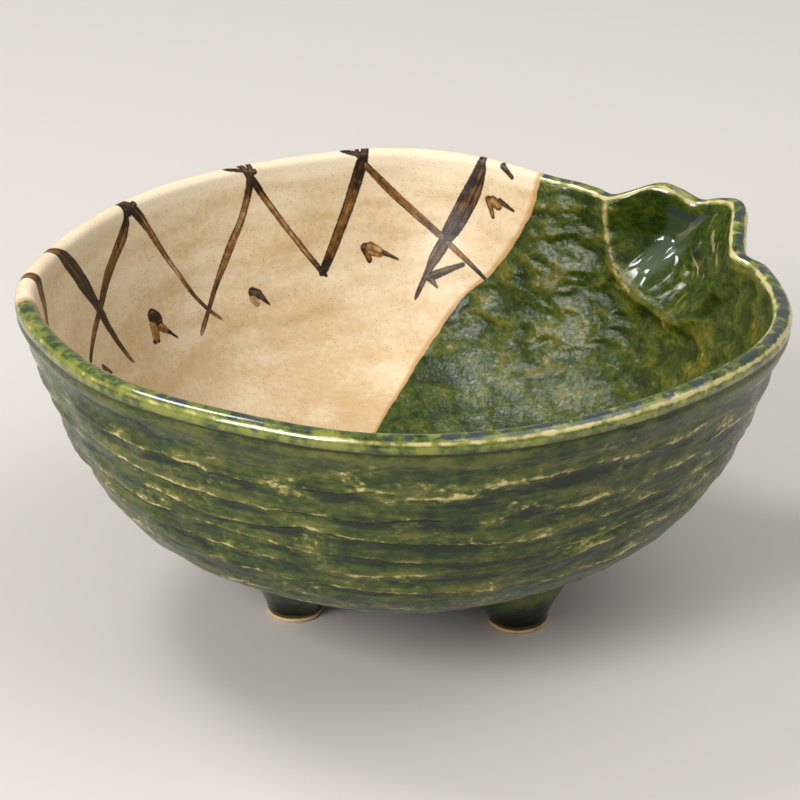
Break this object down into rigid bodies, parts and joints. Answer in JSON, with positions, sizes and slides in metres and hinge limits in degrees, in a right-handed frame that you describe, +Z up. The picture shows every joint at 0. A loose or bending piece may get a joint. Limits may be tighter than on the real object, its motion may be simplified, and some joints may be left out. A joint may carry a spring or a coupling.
{
  "type": "serving bowl",
  "caption": "Deep handmade stoneware serving bowl on short luted feet, green and cream glaze with iron brushwork inside, its rim pinched into a flared, folded lobe.",
  "frame": {"origin": "centre of the bowl's bounding box in plan, at the soles of the feet", "axes": "+Z up, -Y towards the viewer, +X to the viewer's right, the lobe in the +X +Y corner"},
  "size_m": [0.211, 0.2066, 0.1002],
  "materials": {
    "glazed_body": "glossy green and cream glaze over buff stoneware",
    "glazed_foot": "glossy green glaze with a bare buff sole"
  },
  "bodies": {
    "root": {"bowl_body": "glazed_body", "foot_front_left": "glazed_foot", "foot_front_right": "glazed_foot", "foot_rear": "glazed_foot"}
  },
  "joints": []
}
